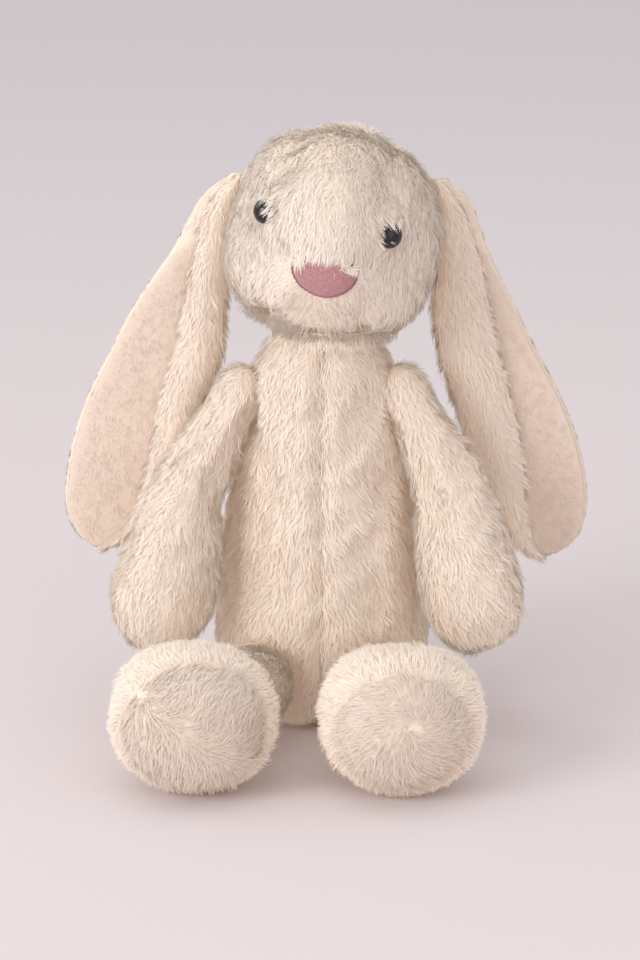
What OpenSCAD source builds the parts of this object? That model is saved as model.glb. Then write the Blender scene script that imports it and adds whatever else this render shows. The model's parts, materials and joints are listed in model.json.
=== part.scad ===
// Seated plush rabbit with drooping ears.
// The origin is the middle of the flat seat under the torso; +Z is up and the face looks along -Y.
// Left and right are those of a viewer who faces the rabbit: left is -X and right is +X.

/* [Torso] */
// Radius of the belly where it is widest
belly_r = 39.5; // [38:0.5:41]
// Height of the neck's rim above the seat
neck_z = 155; // [154:1:156]
// Radius of the flat patch that the rabbit sits on
seat_r = 27; // [25:0.5:28]

/* [Head] */
// Radius of the round of the head
head_r = 38.5; // [37.5:0.25:38.75]
// How far the muzzle stands in front of the middle of the head
muzzle_y = 44; // [42:0.5:45]
// Half the width of the gusset over the crown
gusset_half = 15.5; // [13:0.5:17]
// Diameter of the safety eyes
eye_d = 9; // [8:0.5:10]
// Sideways distance from the middle of the face to each eye
eye_x = 21.5; // [20:0.5:24]
// Width of the nose
nose_w = 23; // [20:0.5:25]

/* [Arms and legs] */
// Radius of an arm where it is sewn to the torso
shoulder_r = 12; // [10:0.5:12]
// Radius of a hand
hand_r = 18; // [16:0.5:18]
// Radius of a leg where it is sewn to the torso
hip_r = 16; // [14:0.5:17]
// Half the width of a foot
foot_half = 29; // [27:0.5:30]
// Radius of a foot, from its middle to the sole
foot_r = 26; // [24:0.5:26]

/* [Cloth and thread] */
// Thickness of the plush, its dense pile included
plush_t = 3; // [2:0.25:3.5]
// Width of the groove that a seam leaves between two panels
seam_gap = 1.2; // [1:0.1:1.6]
// Thickness of the sewing thread
thread_t = 0.7; // [0.5:0.05:0.9]

/* [Hidden] */

LEFT = -1;
RIGHT = 1;
FAR = 300;
$fn = 72;

cream = [0.95, 0.91, 0.86];
lining_peach = [0.95, 0.87, 0.81];
sole_white = [0.95, 0.93, 0.90];
nose_pink = [0.83, 0.58, 0.64];
eye_black = [0.04, 0.04, 0.05];
washer_white = [0.9, 0.9, 0.9];
thread_cream = [0.88, 0.80, 0.72];
stuffing_white = [0.97, 0.97, 0.97];
sack_white = [0.9, 0.9, 0.88];
pellet_grey = [0.8, 0.82, 0.84];
label_white = [0.98, 0.98, 0.98];

// Clearance between a cloth shell and what it holds
fit = 0.3;
// Gap around a sewn root, which holds the ring of thread
root_gap = 1.6;

// Outlines of turned shapes, as [radius, height], from the bottom of the axis to its top
torso_curve = [
    [seat_r, 0], [33.5, 4], [37.5, 13], [belly_r, 30], [38.5, 50], [35.5, 72],
    [31, 96], [27.5, 118], [26, 136], [23, 147], [13, neck_z - 2], [0, neck_z]
];
head_curve = [
    [0, -head_r], [16, -35.2], [28, -26.5], [35.5, -15], [head_r, -2], [37.5, 9],
    [33, 19.5], [25.5, 29.5], [17.5, 37], [9, muzzle_y - 1.8], [0, muzzle_y]
];
arm_curve = [
    [shoulder_r, 0], [shoulder_r + 0.2, 10], [13.5, 24], [15.6, 40],
    [hand_r - 0.5, 57], [hand_r, 69], [15.4, 80], [8.5, 87.5], [0, 90]
];
foot_curve = [
    [0, -foot_half], [13, -26.2], [21.5, -18], [25.4, -8.5], [foot_r, 0],
    [25.4, 8.5], [21.5, 18], [13, 26.2], [0, foot_half]
];

// Where the roots are sewn and where the limbs end
head_at = [5, -8, 181];
head_turn = -7;
head_roll = 10;
neck_socket_r = 42;
shoulder_at = [38.6, -8, 114];
hand_end = [[-61, -36, 33], [58, -42, 33]];
hip_at = [25, -40, 19];
foot_at = [[-44, -93, foot_r], [27, -93, foot_r]];
foot_yaw = [12, -4];
ear_at = [[-29.5, 2, 200], [41, 2, 196]];
tail_at = [0, 53, 22];
tail_r = 12;
sack_r = 27;
sack_top = 26;
ear_root_r = 5.5;

// Each ear from root to tip, as [inner x, outer x, y, height, half thickness]
left_ear = [
    [-34, -27, 2, 198, 4], [-41, -33.5, 4.5, 188, 5], [-55, -35.5, 8, 169, 6],
    [-66, -35, 11.5, 150, 6.5], [-72, -38, 12.5, 141, 6.5], [-77, -47, 13, 131, 6.5],
    [-86, -52.5, 13.5, 112, 6.5], [-92, -60.5, 14, 92, 6.5], [-94.5, -70, 14, 73, 6],
    [-91, -76, 14, 61, 4.5], [-85, -83, 14, 57, 1.5]
];
right_ear = [
    [39, 46, 2, 194, 4], [45, 52, 4.5, 184, 5], [47, 61, 8, 167, 6],
    [42, 72, 11.5, 150, 6.5], [44, 76, 12.5, 141, 6.5], [48, 80, 13, 131, 6.5],
    [54, 89, 13.5, 112, 6.5], [60.5, 95.5, 14, 92, 6.5], [68, 98.5, 14, 73, 6],
    [73, 94, 14, 58, 4.5], [81, 84, 14, 53, 1.5]
];

// ---- curves ----

// A point between b and c on the smooth curve through a, b, c and d
function between(a, b, c, d, t) =
    0.5 * (2 * b + (c - a) * t + (2 * a - 5 * b + 4 * c - d) * t * t
           + (3 * b - a - 3 * c + d) * t * t * t);

// A smooth curve through the points, with steps spans between two of them
function smooth(points, steps) =
    let (last = len(points) - 1)
    concat(
        [for (i = [0 : last - 1], k = [0 : steps - 1])
            between(points[max(i - 1, 0)], points[i], points[i + 1],
                    points[min(i + 2, last)], k / steps)],
        [points[last]]
    );

// The outline moved inwards by depth, with both of its ends kept on the axis
function inset(outline, depth) =
    let (last = len(outline) - 1)
    [for (i = [0 : last])
        let (
            along = outline[min(i + 1, last)] - outline[max(i - 1, 0)],
            outward = [along.y, -along.x] / norm(along),
            moved = outline[i] - depth * outward
        )
        i == 0 ? [0, outline[0].y + depth]
        : i == last ? [0, outline[last].y - depth]
        : [max(moved.x, 0.01), moved.y]];

function backwards(points) = [for (i = [len(points) - 1 : -1 : 0]) points[i]];

// The round root of a limb below its outline, as a quarter circle
function round_root(radius) =
    [for (a = [-90 : 10 : -10]) radius * [cos(a), sin(a)]];

torso_outline = concat([[0, 0]], smooth(torso_curve, 2));
head_outline = smooth(head_curve, 2);
arm_outline = concat(round_root(shoulder_r), smooth(arm_curve, 2));
foot_outline = smooth(foot_curve, 2);

// ---- building blocks ----

// The layer of a turned shape between two depths under its surface
module layer(outline, from, to) {
    rotate_extrude()
        polygon(concat(inset(outline, from), backwards(inset(outline, to))));
}

// The turned shape itself, from a depth under its surface inwards
module core(outline, from) {
    rotate_extrude()
        polygon(inset(outline, from));
}

// Everything beyond a plane across the X axis
module beyond_x(side, start) {
    translate([side == LEFT ? -start - FAR : start, -FAR, -FAR])
        cube([FAR, 2 * FAR, 2 * FAR]);
}

// Everything beyond a plane across the Y axis
module beyond_y(side, start) {
    translate([-FAR, side == LEFT ? -start - FAR : start, -FAR])
        cube([2 * FAR, FAR, 2 * FAR]);
}

// A sheet of the thread's thickness on a plane across the X axis
module thread_sheet(at = 0) {
    translate([at - thread_t / 2, -FAR, -FAR])
        cube([thread_t, 2 * FAR, 2 * FAR]);
}

// Its children with +Z turned to the direction from one point to another, at the first point
module aimed(from, to) {
    d = to - from;
    translate(from)
        rotate([0, acos(d.z / norm(d)), atan2(d.y, d.x)])
            children();
}

// The ring of thread that holds a root, around its pivot and facing along direction;
// spread is the angle at the pivot between the ring and that direction
module root_ring(pivot, root, direction, spread) {
    ring_r = root + root_gap / 2;
    color(thread_cream)
        aimed(pivot, pivot + direction)
            translate([0, 0, ring_r * cos(spread)])
                thread_ring(ring_r * sin(spread));
}

// A level ring of thread
module thread_ring(r) {
    rotate_extrude()
        translate([r, 0])
            circle(d = thread_t, $fn = 16);
}

// A closed skin over rings of points
module loft(rings) {
    n = len(rings[0]);
    last = len(rings) - 1;
    polyhedron(
        points = [for (ring = rings, p = ring) p],
        faces = concat(
            [for (i = [0 : last - 1], k = [0 : n - 1])
                let (next = (k + 1) % n)
                [i * n + k, i * n + next, (i + 1) * n + next, (i + 1) * n + k]],
            [[for (k = [n - 1 : -1 : 0]) k]],
            [[for (k = [0 : n - 1]) last * n + k]]
        ),
        convexity = 4
    );
}

function of_side(side, pair) = side == LEFT ? pair[0] : pair[1];
function mirrored(side, p) = [side * p.x, p.y, p.z];

// ---- torso ----

module torso_cuts(extra = 0) {
    translate(head_at)
        sphere(r = neck_socket_r + extra, $fn = 96);
    for (side = [LEFT, RIGHT]) {
        translate(mirrored(side, shoulder_at))
            sphere(r = shoulder_r + root_gap + extra);
        translate(mirrored(side, hip_at))
            sphere(r = hip_r + root_gap + extra);
    }
}

module torso_panel(side, face) {
    color(cream)
        difference() {
            intersection() {
                layer(torso_outline, 0, plush_t);
                beyond_x(side, seam_gap / 2);
                beyond_y(face, seam_gap / 2);
            }
            torso_cuts();
            translate([0, 0, -1])
                cylinder(r = seat_r + 0.4, h = plush_t + 2);
        }
}

module torso_front_left() torso_panel(LEFT, LEFT);
module torso_front_right() torso_panel(RIGHT, LEFT);
module torso_back_left() torso_panel(LEFT, RIGHT);
module torso_back_right() torso_panel(RIGHT, RIGHT);

module seat_panel() {
    color(cream)
        cylinder(r = seat_r - 0.8, h = plush_t);
}

module seat_seam() {
    color(thread_cream)
        translate([0, 0, plush_t / 2])
            thread_ring(seat_r - 0.2);
}

// The thread of one half of the seam around the torso: the belly's or the back's
module torso_seam(face) {
    color(thread_cream)
        difference() {
            intersection() {
                layer(torso_outline, 0.8, plush_t - 0.6);
                thread_sheet();
                beyond_y(face, seam_gap);
            }
            torso_cuts();
            translate([0, 0, -1])
                cylinder(r = seat_r + 1, h = plush_t + 3);
        }
}

module belly_seam() torso_seam(LEFT);
module back_seam() torso_seam(RIGHT);

module torso_stuffing() {
    color(stuffing_white)
        difference() {
            core(torso_outline, plush_t + fit);
            torso_cuts(1);
            translate([0, 0, -1])
                cylinder(r = sack_r + fit, h = sack_top + fit + 1);
        }
}

// A sewn sack in the seat, open inside for the pellets
module pellet_sack() {
    wall = 0.6;
    color(sack_white)
        translate([0, 0, plush_t + fit])
            difference() {
                cylinder(r = sack_r, h = sack_top - plush_t - fit);
                translate([0, 0, wall])
                    cylinder(r = sack_r - wall, h = sack_top - plush_t - fit - 2 * wall);
            }
}

module pellets() {
    color(pellet_grey)
        translate([0, 0, plush_t + 4 * fit])
            cylinder(r = sack_r - 4 * fit, h = sack_top - plush_t - 8 * fit);
}

// A blank folded tape that stands out of the back seam
module care_label() {
    tape_t = 0.5;
    color(label_white)
        translate([-tape_t / 2, belly_r - 1, 56])
            cube([tape_t, 12, 15]);
}

// ---- neck ----

module neck_seam() {
    ring_r = neck_socket_r - 0.9;
    lean = 30;
    color(thread_cream)
        translate(head_at - [0, 0, ring_r * cos(lean)])
            thread_ring(ring_r * sin(lean));
}

// The lens of stuffing between the torso and the head
module neck_stuffing() {
    inner_r = head_r + 0.8;
    outer_r = neck_socket_r - 1.8;
    reach = 24;
    color(stuffing_white)
        translate(head_at)
            rotate_extrude()
                polygon(concat(
                    [for (a = [0 : 4 : reach]) outer_r * [sin(a), -cos(a)]],
                    [for (a = [reach : -4 : 0]) inner_r * [sin(a), -cos(a)]]
                ));
}

// ---- head ----

// Its children in the head's own frame: the middle of the head, with the face along -Y
module on_head() {
    translate(head_at)
        rotate([0, head_roll, head_turn])
            children();
}

// Turned shapes of the head have the muzzle along +Z, so this lays them down
module muzzle_forward() {
    rotate([90, 0, 0])
        children();
}

eye_z = 6.5;
eye_proud = 1.1;
eye_y = -sqrt(pow(head_r + eye_proud, 2) - eye_x * eye_x - eye_z * eye_z);
stem_r = 1.5;
stem_h = 9.5;
eye_lip = 0.4;
washer_r = 4.5;
washer_t = 1.2;
washer_gap = 1.2;

// Its children at an eye, with +Z out of the head
module at_eye(side) {
    on_head()
        aimed([side * eye_x, eye_y, eye_z], 2 * [side * eye_x, eye_y, eye_z])
            children();
}

module head_cuts() {
    for (side = [LEFT, RIGHT]) {
        at_eye(side)
            translate([0, 0, -12])
                cylinder(r = stem_r + fit, h = 20);
        translate(of_side(side, ear_at))
            sphere(r = ear_root_r + root_gap);
    }
}

module head_gusset() {
    color(cream)
        difference() {
            on_head()
                intersection() {
                    muzzle_forward()
                        layer(head_outline, 0, plush_t);
                    translate([-gusset_half + seam_gap / 2, -FAR, -FAR])
                        cube([2 * gusset_half - seam_gap, 2 * FAR, 2 * FAR]);
                }
            head_cuts();
        }
}

module head_side(side) {
    color(cream)
        difference() {
            on_head()
                intersection() {
                    muzzle_forward()
                        layer(head_outline, 0, plush_t);
                    beyond_x(side, gusset_half + seam_gap / 2);
                }
            head_cuts();
        }
}

module head_side_left() head_side(LEFT);
module head_side_right() head_side(RIGHT);

module head_seam(side) {
    color(thread_cream)
        difference() {
            on_head()
                intersection() {
                    muzzle_forward()
                        layer(head_outline, 0.8, plush_t - 0.6);
                    thread_sheet(side * gusset_half);
                }
            head_cuts();
        }
}

module head_seam_left() head_seam(LEFT);
module head_seam_right() head_seam(RIGHT);

module head_stuffing() {
    color(stuffing_white)
        difference() {
            on_head()
                muzzle_forward()
                    core(head_outline, plush_t + fit);
            for (side = [LEFT, RIGHT]) {
                at_eye(side)
                    translate([0, 0, -14])
                        cylinder(r = washer_r + fit, h = 20);
                translate(of_side(side, ear_at))
                    sphere(r = ear_root_r + root_gap + 1);
            }
        }
}

// A glossy dome with the stem that goes through the plush
module eye(side) {
    dome_h = eye_d * 0.42;
    color(eye_black)
        at_eye(side)
            union() {
                translate([0, 0, fit])
                    rotate_extrude()
                        polygon(concat(
                            [[0, 0]],
                            [for (a = [0 : 9 : 90]) [eye_d / 2 * cos(a), eye_lip + dome_h * sin(a)]]
                        ));
                translate([0, 0, eye_lip + fit - stem_h])
                    cylinder(r = stem_r, h = stem_h);
            }
}

module eye_left() eye(LEFT);
module eye_right() eye(RIGHT);

// The disc that is pushed onto the stem from inside the head
module eye_washer(side) {
    color(washer_white)
        at_eye(side)
            translate([0, 0, -plush_t - washer_t - washer_gap])
                difference() {
                    cylinder(r = washer_r, h = washer_t);
                    translate([0, 0, -1])
                        cylinder(r = stem_r + 0.05, h = washer_t + 2);
                }
}

module eye_washer_left() eye_washer(LEFT);
module eye_washer_right() eye_washer(RIGHT);

nose_x = 2.5;
nose_z = -8;
nose_h = 15;
nose_t = 1.6;

// The half-moon that the nose fills, seen from the front, shrunk by margin
module nose_outline(margin) {
    r = nose_w / 2 - margin;
    intersection() {
        translate([0, nose_h * 0.2])
            circle(r = r);
        translate([-nose_w, -nose_h * 0.62 + margin * 0.7])
            square([2 * nose_w, nose_h - 1.7 * margin]);
    }
}

// The part of a layer over the muzzle that lies within the nose's outline
module nose_layer(from, to, outer, inner) {
    on_head()
        intersection() {
            muzzle_forward()
                layer(head_outline, -from, -to);
            translate([nose_x, 0, nose_z])
                rotate([90, 0, 0])
                    linear_extrude(2 * muzzle_y)
                        difference() {
                            nose_outline(outer);
                            if (inner > 0) nose_outline(inner);
                        }
        }
}

module nose_patch() {
    color(nose_pink)
        nose_layer(nose_t, 0.15, 1.3, 0);
}

module nose_seam() {
    color(nose_pink * 0.8)
        nose_layer(0.8, 0.15, 0, 1.1);
}

// ---- ears ----

ear_sides = 10;

// One half of an ear's section, the back half or the front one, as a closed ring of points
function ear_ring(s, half, narrow, gap) =
    let (
        middle = [(s[0] + s[1]) / 2, s[2]],
        wide = abs(s[1] - s[0]) / 2 * narrow,
        turn = half == "back" ? 0 : 180,
        shift = half == "back" ? gap / 2 : -gap / 2
    )
    [for (k = [0 : ear_sides])
        let (a = turn + 180 * k / ear_sides)
        [middle.x + wide * cos(a), middle.y + s[4] * sin(a) + shift, s[3]]];

// The first stations are the root, and the lining starts below it
module ear_half(stations, half, narrow, first) {
    path = smooth(stations, 2);
    loft([for (i = [len(path) - 1 : -1 : first]) ear_ring(path[i], half, narrow, fit)]);
}

module ear_left_back() color(cream) ear_half(left_ear, "back", 1, 0);
module ear_right_back() color(cream) ear_half(right_ear, "back", 1, 0);
module ear_left_lining() color(lining_peach) ear_half(left_ear, "front", 0.94, 1);
module ear_right_lining() color(lining_peach) ear_half(right_ear, "front", 0.94, 1);

module ear_seam(side) {
    pivot = of_side(side, ear_at);
    root_ring(pivot, ear_root_r, head_at - pivot, 50);
}

module ear_left_seam() ear_seam(LEFT);
module ear_right_seam() ear_seam(RIGHT);

// ---- arms ----

// Its children in an arm's own frame: the shoulder, with +Z towards the hand
module on_arm(side) {
    aimed(mirrored(side, shoulder_at), of_side(side, hand_end))
        children();
}

module arm_panel(side, face) {
    color(cream)
        on_arm(side)
            intersection() {
                layer(arm_outline, 0, plush_t);
                beyond_y(face, seam_gap / 2);
            }
}

module arm_left_outer() arm_panel(LEFT, LEFT);
module arm_left_inner() arm_panel(LEFT, RIGHT);
module arm_right_outer() arm_panel(RIGHT, RIGHT);
module arm_right_inner() arm_panel(RIGHT, LEFT);

module arm_stuffing(side) {
    color(stuffing_white)
        on_arm(side)
            core(arm_outline, plush_t + fit);
}

module arm_left_stuffing() arm_stuffing(LEFT);
module arm_right_stuffing() arm_stuffing(RIGHT);

module arm_seam(side) {
    root_ring(mirrored(side, shoulder_at), shoulder_r, [-side, 0, 0], 25);
}

module arm_left_seam() arm_seam(LEFT);
module arm_right_seam() arm_seam(RIGHT);

// ---- legs and feet ----

function leg_length(side) = norm(of_side(side, foot_at) - mirrored(side, hip_at));

// The round root and the tube that goes into the foot
function leg_outline(side) =
    let (reach = leg_length(side))
    concat(
        round_root(hip_r),
        smooth([[hip_r, 0], [hip_r + 0.8, reach * 0.4], [hip_r + 1.5, reach - 12]], 2),
        [[0, reach - 12]]
    );

// Its children in a leg's own frame: the hip, with +Z towards the foot
module on_leg(side) {
    aimed(mirrored(side, hip_at), of_side(side, foot_at))
        children();
}

// Its children in a foot's own frame: its middle, with the sole along -Y
module on_foot(side) {
    translate(of_side(side, foot_at))
        rotate([0, 0, of_side(side, foot_yaw) * -1])
            children();
}

// Turned shapes of the foot have their axis from side to side
module across() {
    rotate([0, 90, 0])
        children();
}

// The space that a foot fills, with a margin around it
module foot_space(side, margin) {
    on_foot(side)
        across()
            core(foot_outline, -margin);
}

module leg_panel(side, face) {
    color(cream)
        difference() {
            on_leg(side)
                intersection() {
                    layer(leg_outline(side), 0, plush_t);
                    beyond_x(face, seam_gap / 2);
                }
            foot_space(side, fit);
        }
}

module leg_left_upper() leg_panel(LEFT, LEFT);
module leg_left_under() leg_panel(LEFT, RIGHT);
module leg_right_upper() leg_panel(RIGHT, LEFT);
module leg_right_under() leg_panel(RIGHT, RIGHT);

module leg_stuffing(side) {
    color(stuffing_white)
        difference() {
            on_leg(side)
                core(leg_outline(side), plush_t + fit);
            foot_space(side, fit);
        }
}

module leg_left_stuffing() leg_stuffing(LEFT);
module leg_right_stuffing() leg_stuffing(RIGHT);

// The sole is the cap of the foot in front of this distance from its middle
sole_y = 15;

module foot_cover(side) {
    color(cream)
        on_foot(side)
            intersection() {
                across()
                    layer(foot_outline, 0, plush_t);
                beyond_y(RIGHT, -sole_y);
            }
}

module foot_left_cover() foot_cover(LEFT);
module foot_right_cover() foot_cover(RIGHT);

module sole(side) {
    color(sole_white)
        on_foot(side)
            intersection() {
                across()
                    layer(foot_outline, 0, plush_t);
                beyond_y(LEFT, sole_y + fit);
            }
}

module sole_left() sole(LEFT);
module sole_right() sole(RIGHT);

module foot_stuffing(side) {
    color(stuffing_white)
        on_foot(side)
            across()
                core(foot_outline, plush_t + fit);
}

module foot_left_stuffing() foot_stuffing(LEFT);
module foot_right_stuffing() foot_stuffing(RIGHT);

module leg_seam(side) {
    root_ring(mirrored(side, hip_at), hip_r, [0, 1, 0], 50);
}

module leg_left_seam() leg_seam(LEFT);
module leg_right_seam() leg_seam(RIGHT);

// ---- tail ----

tail_hole_r = 4;

// Its children in the tail's own frame: its middle, with the torso along +Z
module on_tail() {
    translate(tail_at)
        rotate([90, 0, 0])
            children();
}

module tail_cover() {
    color(cream)
        on_tail()
            difference() {
                sphere(r = tail_r);
                sphere(r = tail_r - plush_t);
                cylinder(r = tail_hole_r, h = tail_r + 1);
            }
}

module tail_stuffing() {
    color(stuffing_white)
        translate(tail_at)
            sphere(r = tail_r - plush_t - fit);
}

// The thread that draws the tail's opening together
module tail_seam() {
    color(thread_cream)
        on_tail()
            translate([0, 0, tail_r - 1.4])
                thread_ring(tail_hole_r - 1);
}

// ---- assembly ----

torso_front_left();
torso_front_right();
torso_back_left();
torso_back_right();
seat_panel();
seat_seam();
belly_seam();
back_seam();
torso_stuffing();
pellet_sack();
pellets();
care_label();
neck_seam();
neck_stuffing();
head_gusset();
head_side_left();
head_side_right();
head_seam_left();
head_seam_right();
head_stuffing();
eye_left();
eye_right();
eye_washer_left();
eye_washer_right();
nose_patch();
nose_seam();
ear_left_seam();
ear_left_back();
ear_left_lining();
ear_right_seam();
ear_right_back();
ear_right_lining();
arm_left_seam();
arm_left_outer();
arm_left_inner();
arm_left_stuffing();
arm_right_seam();
arm_right_outer();
arm_right_inner();
arm_right_stuffing();
leg_left_seam();
leg_left_upper();
leg_left_under();
leg_left_stuffing();
foot_left_cover();
sole_left();
foot_left_stuffing();
leg_right_seam();
leg_right_upper();
leg_right_under();
leg_right_stuffing();
foot_right_cover();
sole_right();
foot_right_stuffing();
tail_seam();
tail_cover();
tail_stuffing();
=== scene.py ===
"""The looks of the seated plush rabbit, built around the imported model.

Each panel is a skin of stuffed cloth that carries a pile of real strands.

Left and right are those of a viewer who faces the rabbit: left is -X and right is +X. Lengths are in metres.
"""

import json
import math
from dataclasses import dataclass

import bmesh
import bpy
import numpy as np
from mathutils import Matrix, Vector
from mathutils.bvhtree import BVHTree
from mathutils.kdtree import KDTree


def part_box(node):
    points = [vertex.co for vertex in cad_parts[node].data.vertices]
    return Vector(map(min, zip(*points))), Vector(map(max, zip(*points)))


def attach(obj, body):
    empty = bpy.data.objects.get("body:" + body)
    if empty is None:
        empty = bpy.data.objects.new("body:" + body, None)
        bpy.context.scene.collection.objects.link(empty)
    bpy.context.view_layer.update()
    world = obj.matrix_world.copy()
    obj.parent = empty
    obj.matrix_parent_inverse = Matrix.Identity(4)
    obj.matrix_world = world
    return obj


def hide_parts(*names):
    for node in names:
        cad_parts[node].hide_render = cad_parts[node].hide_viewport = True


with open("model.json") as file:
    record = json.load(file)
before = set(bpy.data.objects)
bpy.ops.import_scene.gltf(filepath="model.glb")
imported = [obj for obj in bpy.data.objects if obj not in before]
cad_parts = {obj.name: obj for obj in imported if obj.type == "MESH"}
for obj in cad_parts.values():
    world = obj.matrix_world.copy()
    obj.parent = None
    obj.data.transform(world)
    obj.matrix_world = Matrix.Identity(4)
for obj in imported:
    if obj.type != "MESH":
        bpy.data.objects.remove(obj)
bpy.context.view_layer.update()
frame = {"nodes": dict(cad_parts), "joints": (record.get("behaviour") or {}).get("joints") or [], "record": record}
NODES = frame["nodes"]
MM = 0.001
LEFT, RIGHT = -1, 1
SIDE_NAME = {LEFT: "left", RIGHT: "right"}
UP = np.array([0.0, 0.0, 1.0])
BACK = np.array([0.0, 1.0, 0.0])


# ---- places that the frame gives ----

def joint_place(name):
    joint = next(j for j in frame["joints"] if j["name"] == name)
    return np.array(joint["pos_m"])


def box(node):
    low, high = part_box(node)
    return np.array(low), np.array(high)


HEAD_MIDDLE = joint_place("neck_turn")
HEAD_TURN = math.radians(-7)
HEAD_ROLL = math.radians(10)
HEAD_FRAME = np.array(Matrix.Rotation(HEAD_TURN, 3, "Z") @ Matrix.Rotation(HEAD_ROLL, 3, "Y"))


def in_head(points):
    """Places in the head's own frame, with the face along -Y."""
    return (points - HEAD_MIDDLE) @ HEAD_FRAME


def out_of_head(points):
    return np.asarray(points) @ HEAD_FRAME.T + HEAD_MIDDLE


def head_directions(vectors):
    return np.asarray(vectors) @ HEAD_FRAME.T


# ---- vectors ----

def unit(v):
    return v / np.maximum(np.linalg.norm(v, axis=-1, keepdims=True), 1e-9)


def along_surface(directions, normals):
    """The directions without the part that leaves the surface."""
    directions = np.broadcast_to(directions, normals.shape)
    return unit(directions - normals * (directions * normals).sum(1, keepdims=True))


def ramp(value, low, high):
    """0 below low, 1 above high and smooth between them."""
    t = np.clip((value - low) / (high - low), 0, 1)
    return t * t * (3 - 2 * t)


def waves(points, size, seed):
    """Three smooth random numbers between -1 and 1 for each point, which change over the given size."""
    rng = np.random.default_rng(seed)
    total = np.zeros((len(points), 3))
    for k in range(5):
        turn = rng.normal(size=(3, 3)) * (0.7 + 0.4 * k)
        total += np.sin(points @ turn * (2.2 / size) + rng.uniform(0, 6.28, 3)) / (1 + 0.5 * k)
    return total / 2.4


# ---- skins ----

class Skin:
    """A triangle mesh in numpy arrays, with a normal for each vertex."""

    def __init__(self, verts, faces):
        self.verts = np.asarray(verts, float)
        self.faces = np.asarray(faces, int)

    @property
    def normals(self):
        a, b, c = (self.verts[self.faces[:, k]] for k in range(3))
        face_normal = np.cross(b - a, c - a)
        out = np.zeros_like(self.verts)
        for k in range(3):
            np.add.at(out, self.faces[:, k], face_normal)
        return unit(out)

    @property
    def centres(self):
        return self.verts[self.faces].mean(1)

    def part(self, keep):
        """The faces for which keep is true, as a skin of their own."""
        faces = self.faces[keep]
        used, index = np.unique(faces, return_inverse=True)
        return Skin(self.verts[used], index.reshape(faces.shape))

    def to_bmesh(self):
        bm = bmesh.new()
        verts = [bm.verts.new(v) for v in self.verts]
        for f in self.faces:
            bm.faces.new([verts[i] for i in f])
        return bm


def skin_of(mesh):
    mesh.calc_loop_triangles()
    verts = np.empty(len(mesh.vertices) * 3)
    mesh.vertices.foreach_get("co", verts)
    faces = np.empty(len(mesh.loop_triangles) * 3, int)
    mesh.loop_triangles.foreach_get("vertices", faces)
    return Skin(verts.reshape(-1, 3), faces.reshape(-1, 3))


def outer_island(skin):
    """The connected part of the skin with the largest box."""
    root = np.arange(len(skin.verts))
    while True:
        low = root[skin.faces].min(1)
        new = root.copy()
        for k in range(3):
            np.minimum.at(new, skin.faces[:, k], low)
        new = new[new]
        if (new == root).all():
            break
        root = new
    groups = root[skin.faces[:, 0]]
    extent = {
        g: np.ptp(skin.verts[root == g], axis=0).prod() for g in np.unique(groups)
    }
    return skin.part(groups == max(extent, key=extent.get))


def wrapped(nodes, voxel=2.2 * MM, inset=0.0, smoothing=6):
    """One closed skin around some of the model's nodes, moved inwards by inset."""
    bm = bmesh.new()
    for node in nodes:
        bm.from_mesh(NODES[node].data)
    mesh = bpy.data.meshes.new("wrap")
    bm.to_mesh(mesh)
    bm.free()
    ob = bpy.data.objects.new("wrap", mesh)
    bpy.context.scene.collection.objects.link(ob)
    remesh = ob.modifiers.new("remesh", "REMESH")
    remesh.mode = "VOXEL"
    remesh.voxel_size = voxel
    smooth = ob.modifiers.new("smooth", "SMOOTH")
    smooth.factor = 0.5
    smooth.iterations = smoothing
    made = bpy.data.meshes.new_from_object(ob.evaluated_get(bpy.context.evaluated_depsgraph_get()))
    skin = outer_island(skin_of(made))
    bpy.data.objects.remove(ob)
    skin.verts -= skin.normals * inset
    return skin


def lofted(rings):
    """A closed skin over rings of points, with a fan over each end."""
    m, n = rings.shape[:2]
    verts = np.vstack([rings.reshape(-1, 3), rings[0].mean(0), rings[-1].mean(0)])
    k = np.arange(n)
    after = (k + 1) % n
    faces = []
    for i in range(m - 1):
        a, b = i * n, (i + 1) * n
        faces += [np.stack([a + k, a + after, b + after], 1), np.stack([a + k, b + after, b + k], 1)]
    faces.append(np.stack([np.full(n, m * n), after, k], 1))
    faces.append(np.stack([np.full(n, m * n + 1), (m - 1) * n + k, (m - 1) * n + after], 1))
    faces = np.vstack(faces)
    return Skin(verts, oriented(verts, faces))


def oriented(verts, faces):
    """The faces, all turned over if they enclose a negative volume."""
    a, b, c = (verts[faces[:, k]] for k in range(3))
    volume = (a * np.cross(b, c)).sum()
    return faces if volume > 0 else faces[:, ::-1]


def object_of(name, skin):
    mesh = bpy.data.meshes.new(name)
    mesh.from_pydata(skin.verts.tolist(), [], skin.faces.tolist())
    ob = bpy.data.objects.new(name, mesh)
    bpy.context.scene.collection.objects.link(ob)
    return ob


def evaluated_skin(ob):
    made = ob.evaluated_get(bpy.context.evaluated_depsgraph_get())
    return skin_of(bpy.data.meshes.new_from_object(made))


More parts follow.
